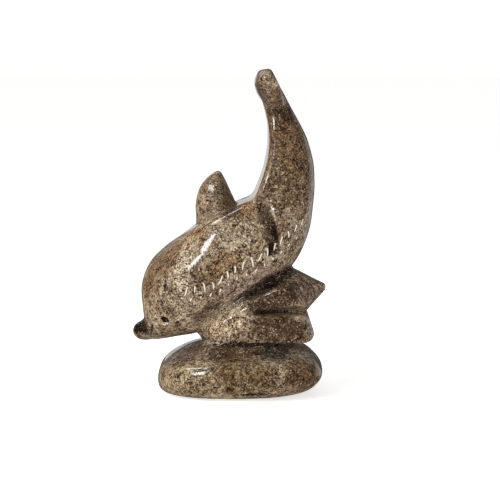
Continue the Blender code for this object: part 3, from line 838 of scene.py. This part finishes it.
def stained_and_light_painted(tree, place, ragged, colour, stain_and_painted_light):
    """The colour with one soft patch over it, whose rim is broken up by the ragged noise.
    The patches are the stone's stains and painted shade, shadow, highlights and reflections.
    """
    centre = (stain_and_painted_light.x * UNIT, stain_and_painted_light.y * UNIT, BASE_HEIGHT + stain_and_painted_light.z * UNIT)
    around = add(tree, "ShaderNodeMapping", {
        "Vector": place, "Location": centre, "Rotation": (0.0, math.radians(-stain_and_painted_light.turn), 0.0),
        "Scale": (stain_and_painted_light.length * MM, stain_and_painted_light.depth * MM, stain_and_painted_light.height * MM)}, vector_type="TEXTURE")
    reach = add(tree, "ShaderNodeVectorMath", {0: around.outputs[0]}, operation="LENGTH")
    torn = add(tree, "ShaderNodeMath", {0: ragged, 1: STAIN_AND_PAINTED_LIGHT_RAGGED, 2: reach.outputs["Value"]},
               operation="MULTIPLY_ADD")
    cover = add(tree, "ShaderNodeMapRange", {
        0: torn.outputs[0], 1: 1.0 + STAIN_AND_PAINTED_LIGHT_SOFT, 2: 1.0 - STAIN_AND_PAINTED_LIGHT_SOFT, 3: 0.0, 4: stain_and_painted_light.strength},
        interpolation_type="SMOOTHSTEP")
    return add(tree, "ShaderNodeMix", {0: cover.outputs[0], 6: colour, 7: hex_colour(stain_and_painted_light.colour)},
               data_type="RGBA").outputs[2]


def strayed(tree, place, size, reach, detail):
    """The place, moved about by a noise of this size, up to half of this reach each way."""
    waves = add(tree, "ShaderNodeTexNoise", {"Vector": place, "Scale": 1 / size, "Detail": detail})
    centred = add(tree, "ShaderNodeVectorMath", {
        0: waves.outputs["Color"], 1: (0.5, 0.5, 0.5)}, operation="SUBTRACT")
    return add(tree, "ShaderNodeVectorMath", {
        0: centred.outputs[0], 1: (reach,) * 3, 2: place}, operation="MULTIPLY_ADD").outputs[0]


def packed_grit(tree, beds, frayed):
    """The tones of shell grit: pieces each of their own tone, the matrix between them, and finer grit."""
    mottle = add(tree, "ShaderNodeTexNoise", {"Vector": beds, "Scale": 1 / MOTTLE_SIZE, "Detail": 3.0})
    pieces = add(tree, "ShaderNodeTexVoronoi", {"Vector": frayed, "Scale": 1 / SHELL_SIZE})
    lots = add(tree, "ShaderNodeSeparateColor", {0: pieces.outputs["Color"]})
    rims = add(tree, "ShaderNodeTexVoronoi", {"Vector": frayed, "Scale": 1 / SHELL_SIZE},
               feature="DISTANCE_TO_EDGE")
    spread = add(tree, "ShaderNodeTexNoise", {"Vector": beds, "Scale": 1 / GAP_SIZE, "Detail": 2.0})
    width = add(tree, "ShaderNodeMapRange", {
        0: spread.outputs[0], 1: GAP_SPREAD[0], 2: GAP_SPREAD[1], 3: GAP_WIDTHS[0], 4: GAP_WIDTHS[1]})
    gap = add(tree, "ShaderNodeMath", {0: width.outputs[0], 1: rims.outputs["Distance"]},
              operation="SUBTRACT")
    between = add(tree, "ShaderNodeMapRange", {0: gap.outputs[0], 1: GAP_RIM[0], 2: GAP_RIM[1]})
    grit = add(tree, "ShaderNodeTexNoise", {
        "Vector": frayed, "Scale": 1 / GRIT_SIZE, "Detail": 1.0, "Roughness": 0.6})
    tone = TONE_MIDDLE
    for pattern, middle, share in (
        (mottle.outputs[0], 0.5, MOTTLE_SHARE), (lots.outputs[0], 0.5, SHELL_SHARE),
        (between.outputs[0], GAP_MIDDLE, -GAP_SHARE), (grit.outputs[0], 0.5, GRIT_SHARE),
    ):
        off = add(tree, "ShaderNodeMath", {0: pattern, 1: middle}, operation="SUBTRACT")
        tone = add(tree, "ShaderNodeMath", {0: off.outputs[0], 1: share, 2: tone},
                   operation="MULTIPLY_ADD").outputs[0]
    return add(tree, "ShaderNodeValToRGB", {"Fac": tone}, stops=TONE_STOPS).outputs[0]


def shell_fragments(tree, beds, colour):
    """Some cells of a cell pattern are filled with a tone of their own and have a dark rim."""
    cells = add(tree, "ShaderNodeTexVoronoi", {"Vector": beds, "Scale": 1 / CLAST_SIZE})
    lots = add(tree, "ShaderNodeSeparateColor", {0: cells.outputs["Color"]})
    size = add(tree, "ShaderNodeMapRange", {0: lots.outputs[1], 3: CLAST_RADII[0], 4: CLAST_RADII[1]})
    inset = add(tree, "ShaderNodeMath", {0: size.outputs[0], 1: cells.outputs["Distance"]},
                operation="SUBTRACT")
    chosen = add(tree, "ShaderNodeMath", {0: lots.outputs[0], 1: 1 - CLAST_SHARE}, operation="GREATER_THAN")
    inside = add(tree, "ShaderNodeMapRange", {
        0: inset.outputs[0], 1: 0.0, 2: CLAST_SOFT, 3: 0.0, 4: CLAST_STRENGTH})
    fill = add(tree, "ShaderNodeMath", {0: inside.outputs[0], 1: chosen.outputs[0]}, operation="MULTIPLY")
    tone = add(tree, "ShaderNodeValToRGB", {"Fac": lots.outputs[2]}, stops=CLAST_STOPS)
    tone.color_ramp.interpolation = "CONSTANT"
    filled = add(tree, "ShaderNodeMix", {0: fill.outputs[0], 6: colour, 7: tone.outputs[0]},
                 data_type="RGBA")
    band = add(tree, "ShaderNodeMath", {0: inset.outputs[0]}, operation="ABSOLUTE")
    outline = add(tree, "ShaderNodeMapRange", {
        0: band.outputs[0], 1: CLAST_RIM[0], 2: CLAST_RIM[1], 3: 0.0, 4: CLAST_RIM_STRENGTH})
    drawn = add(tree, "ShaderNodeMath", {0: outline.outputs[0], 1: chosen.outputs[0]}, operation="MULTIPLY")
    return add(tree, "ShaderNodeMix", {
        0: drawn.outputs[0], 6: filled.outputs[2], 7: hex_colour(VEIN_COLOUR)}, data_type="RGBA").outputs[2]


def veined(tree, beds, colour):
    """Thin dark veins, along the middle level of a pattern."""
    level = add(tree, "ShaderNodeTexNoise", {"Vector": beds, "Scale": 1 / VEIN_SIZE, "Detail": 3.0})
    off = add(tree, "ShaderNodeMath", {0: level.outputs[0], 1: 0.5}, operation="SUBTRACT")
    near = add(tree, "ShaderNodeMath", {0: off.outputs[0]}, operation="ABSOLUTE")
    vein = add(tree, "ShaderNodeMapRange", {
        0: near.outputs[0], 1: VEIN_WIDTH, 2: 0.0, 3: 0.0, 4: VEIN_STRENGTH})
    return add(tree, "ShaderNodeMix", {0: vein.outputs[0], 6: colour, 7: hex_colour(VEIN_COLOUR)},
               data_type="RGBA").outputs[2]


def spotted(tree, frayed, crowd, colour, spots):
    """Soft spots of one kind, thicker where the stone is crowded."""
    at = add(tree, "ShaderNodeMapping", {
        "Vector": frayed, "Location": (spots.shift,) * 3}, label=spots.name)
    pattern = add(tree, "ShaderNodeTexNoise", {
        "Vector": at.outputs[0], "Scale": 1 / spots.width, "Detail": 2.0, "Roughness": 0.5,
        "Distortion": spots.bend})
    level = add(tree, "ShaderNodeMath", {0: crowd, 1: spots.gather, 2: pattern.outputs[0]},
                operation="MULTIPLY_ADD")
    cover = add(tree, "ShaderNodeMapRange", {
        0: level.outputs[0], 1: spots.low + spots.gather / 2, 2: spots.high + spots.gather / 2, 3: 0.0,
        4: spots.strength})
    return add(tree, "ShaderNodeMix", {0: cover.outputs[0], 6: colour, 7: hex_colour(spots.colour)},
               data_type="RGBA").outputs[2]


def open_pores(tree, frayed, crowd, pores):
    """How much of an open pore lies at a place: small ovals with a crisp rim, at some of the places."""
    cells = add(tree, "ShaderNodeTexVoronoi", {
        "Vector": frayed, "Scale": 1 / pores.apart}, label=pores.name)
    lots = add(tree, "ShaderNodeSeparateColor", {0: cells.outputs["Color"]})
    size = add(tree, "ShaderNodeMapRange", {0: lots.outputs[1], 3: pores.least, 4: pores.most})
    inset = add(tree, "ShaderNodeMath", {0: size.outputs[0], 1: cells.outputs["Distance"]},
                operation="SUBTRACT")
    share = add(tree, "ShaderNodeMapRange", {
        0: crowd, 1: CROWD_SPREAD[0], 2: CROWD_SPREAD[1], 3: pores.few, 4: pores.many})
    chosen = add(tree, "ShaderNodeMath", {0: lots.outputs[0], 1: share.outputs[0]}, operation="LESS_THAN")
    inside = add(tree, "ShaderNodeMapRange", {0: inset.outputs[0], 1: PORE_RIM[0], 2: PORE_RIM[1]})
    return add(tree, "ShaderNodeMath", {0: inside.outputs[0], 1: chosen.outputs[0]},
               operation="MULTIPLY").outputs[0]


def polished_fossil_stone():
    """Fossil limestone, sawn, ground and polished with wax.

    The eye sees a brown matrix packed with pale shell grit and dark open pores, with iron stains in
    patches, under a clear gloss that reflects white at its edges and goes dull only inside the pores. Some
    of the patches are painted shade, shadow, highlights and reflections.
    """
    material, tree, shader = blank_material("polished_fossil_stone")
    place = add(tree, "ShaderNodeTexCoord").outputs["Object"]
    moved = strayed(tree, place, DRIFT_SIZE, DRIFT_REACH, DRIFT_DETAIL)
    beds = add(tree, "ShaderNodeMapping", {
        "Vector": moved, "Rotation": [math.radians(angle) for angle in BED_TILT],
        "Scale": (1.0, BED_THINNING, 1.0)}).outputs[0]
    frayed = strayed(tree, beds, FRAY_SIZE, FRAY_REACH, FRAY_DETAIL)

    # The ground, then its stains and painted shade, shadow, highlights and reflections, with rims that
    # a coarse pattern breaks up.
    cloud = add(tree, "ShaderNodeTexNoise", {
        "Vector": beds, "Scale": 1 / CLOUD_SIZE, "Detail": 5.0, "Roughness": 0.62})
    colour = add(tree, "ShaderNodeValToRGB", {"Fac": cloud.outputs[0]}, stops=GROUND_STOPS).outputs[0]
    rim = add(tree, "ShaderNodeTexNoise", {
        "Vector": beds, "Scale": 1 / STAIN_AND_PAINTED_LIGHT_GRAIN, "Detail": 5.0, "Roughness": 0.7})
    ragged = add(tree, "ShaderNodeMath", {0: rim.outputs[0], 1: 0.5}, operation="SUBTRACT").outputs[0]
    for stain_and_painted_light in STAINS_AND_PAINTED_LIGHT:
        colour = stained_and_light_painted(tree, place, ragged, colour, stain_and_painted_light)

    # Fragments and grit, which darken or lighten the ground, and veins over them.
    colour = shell_fragments(tree, beds, colour)
    tones = packed_grit(tree, beds, frayed)
    toned = add(tree, "ShaderNodeVectorMath", {0: colour, 1: tones}, operation="MULTIPLY")
    colour = add(tree, "ShaderNodeVectorMath", {0: toned.outputs[0], "Scale": TONE_GAIN},
                 operation="SCALE").outputs[0]
    colour = veined(tree, beds, colour)

    # Pale crumbs, bent shells and dark pores, thicker in some places than in others.
    crowd = add(tree, "ShaderNodeTexNoise", {"Vector": place, "Scale": 1 / CROWD_SIZE}).outputs[0]
    for spots in SOFT_SPOTS:
        colour = spotted(tree, frayed, crowd, colour, spots)
    fine, coarse = (open_pores(tree, frayed, crowd, pores) for pores in PORES)
    open_share = add(tree, "ShaderNodeMath", {0: fine, 1: coarse}, operation="MAXIMUM").outputs[0]
    colour = add(tree, "ShaderNodeMix", {0: open_share, 6: colour, 7: hex_colour(PORE_COLOUR)},
                 data_type="RGBA").outputs[2]
    tree.links.new(colour, shader.inputs["Base Color"])

    # The pores are open: a little lower than the polished face, and dull inside.
    dull = add(tree, "ShaderNodeMapRange", {0: open_share, 3: STONE_ROUGHNESS, 4: PORE_ROUGHNESS})
    tree.links.new(dull.outputs[0], shader.inputs["Roughness"])
    bump = add(tree, "ShaderNodeBump", {
        "Height": open_share, "Strength": PORE_RELIEF, "Distance": PORE_DEPTH}, invert=True)
    tree.links.new(bump.outputs[0], shader.inputs["Normal"])
    shader.inputs["IOR"].default_value = STONE_IOR
    shader.inputs["Coat Weight"].default_value = WAX_WEIGHT
    shader.inputs["Coat Roughness"].default_value = WAX_ROUGHNESS
    return material


def grained_finish(name, darker, lighter, grain, roughness):
    """A finish of two near tones, in grains of this real size."""
    material, tree, shader = blank_material(name)
    place = add(tree, "ShaderNodeTexCoord").outputs["Object"]
    grains = add(tree, "ShaderNodeTexNoise", {"Vector": place, "Scale": 1 / grain, "Detail": 2.0})
    tones = add(tree, "ShaderNodeValToRGB", {"Fac": grains.outputs[0]},
                stops=[(0.35, darker), (0.65, lighter)])
    tree.links.new(tones.outputs[0], shader.inputs["Base Color"])
    shader.inputs["Roughness"].default_value = roughness
    return material


def scratched_stone():
    """The same stone where a steel point has crushed it: a chalky powder, bright, uneven, without gloss."""
    return grained_finish("scratched_stone", darker="#E2D9C6", lighter="#FBF7EC", grain=SCRATCH_GRAIN,
                          roughness=0.8)


def drilled_eye():
    """A dimple in the stone, drilled, coloured nearly black and polished, so it looks wet."""
    return grained_finish("drilled_eye", darker="#0D0B09", lighter="#2B2620", grain=EYE_GRAIN,
                          roughness=0.15)


def carved_dolphin():
    """The whole carving as one piece of stone."""
    block = fused("dolphin_stone", [
        pebble_base(), stem(), wave_core(), wave_lobe("left_lobe", LEFT_LOBE), wave_lobe("slab", SLAB),
        wave_lobe("prong", PRONG), dolphin_body(), beak(), tail_flukes(), dorsal_fin(),
    ])
    hand_worked(block)
    block.data.materials.append(polished_fossil_stone())
    chalky, dark = scratched_stone(), drilled_eye()
    tree = stroke_tree()
    cutters = [stroke_cutter(row, tree, block, chalky) for row in STROKE_ROWS]
    cutters += [eye_cutter(block, side, dark) for side in (-1, 1)]
    cut_away(block, cutters)
    block.data.shade_smooth()
    block.data.set_sharp_from_angle(angle=math.radians(SHARP_ANGLE))
    return block


def aim(obj, target):
    """Turns a lamp or the camera towards the target."""
    obj.rotation_euler = (target - obj.location).to_track_quat("-Z", "Y").to_euler()


def soft_lamp(given):
    """A rectangular soft lamp that is aimed at the carving."""
    lamp = bpy.data.lights.new(given.name, "AREA")
    lamp.shape = "RECTANGLE"
    lamp.size = given.width
    lamp.size_y = given.height
    lamp.energy = given.power
    holder = in_scene(given.name, lamp)
    holder.location = VIEW_MIDDLE + Vector(given.towards).normalized() * given.away
    holder.visible_diffuse = given.lights
    holder.visible_glossy = given.shows
    aim(holder, VIEW_MIDDLE)


def lit_table():
    """A pale acrylic table that is lit from below, so it stays white and the shadow on it is faint."""
    bm = bmesh.new()
    bmesh.ops.create_grid(bm, x_segments=1, y_segments=1, size=FLOOR_REACH)
    floor = finish_object("floor", bm)
    acrylic, _, shader = blank_material("pale_acrylic")
    shader.inputs["Base Color"].default_value = hex_colour("#E9E8E6")
    shader.inputs["Roughness"].default_value = 0.7
    shader.inputs["Emission Color"].default_value = (1.0, 1.0, 1.0, 1.0)
    shader.inputs["Emission Strength"].default_value = TABLE_GLOW
    floor.data.materials.append(acrylic)
    floor.visible_glossy = False
    return floor


def setting():
    """The table, the surroundings, the soft lamps and the camera.

    The surroundings are white behind the carving and softer as a light, and the polish reflects a dim room.
    """
    scene = bpy.context.scene
    scene.view_settings.view_transform = "Standard"
    lit_table()
    world = bpy.data.worlds.new("white_surroundings")
    scene.world = world
    world.use_nodes = True
    tree = world.node_tree
    ray = add(tree, "ShaderNodeLightPath")
    seen = add(tree, "ShaderNodeMapRange", {
        0: ray.outputs["Is Camera Ray"], 3: FILL_STRENGTH, 4: BACKDROP_STRENGTH})
    strength = add(tree, "ShaderNodeMix", {
        0: ray.outputs["Is Glossy Ray"], 2: seen.outputs[0], 3: ROOM_STRENGTH})
    tree.nodes["Background"].inputs["Color"].default_value = (1.0, 1.0, 1.0, 1.0)
    tree.links.new(strength.outputs[0], tree.nodes["Background"].inputs["Strength"])
    for lamp in LAMPS:
        soft_lamp(lamp)
    lens = bpy.data.cameras.new("camera")
    camera = in_scene("camera", lens)
    elevation = math.radians(VIEW_ELEVATION)
    camera.location = VIEW_MIDDLE + Vector((0.0, -math.cos(elevation), math.sin(elevation))) * VIEW_DISTANCE
    aim(camera, VIEW_MIDDLE)
    lens.lens = lens.sensor_width * VIEW_DISTANCE / VIEW_WIDTH
    scene.camera = camera


def main():
    carving = carved_dolphin()
    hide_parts(NODE)
    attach(carving, "root")
    setting()


main()
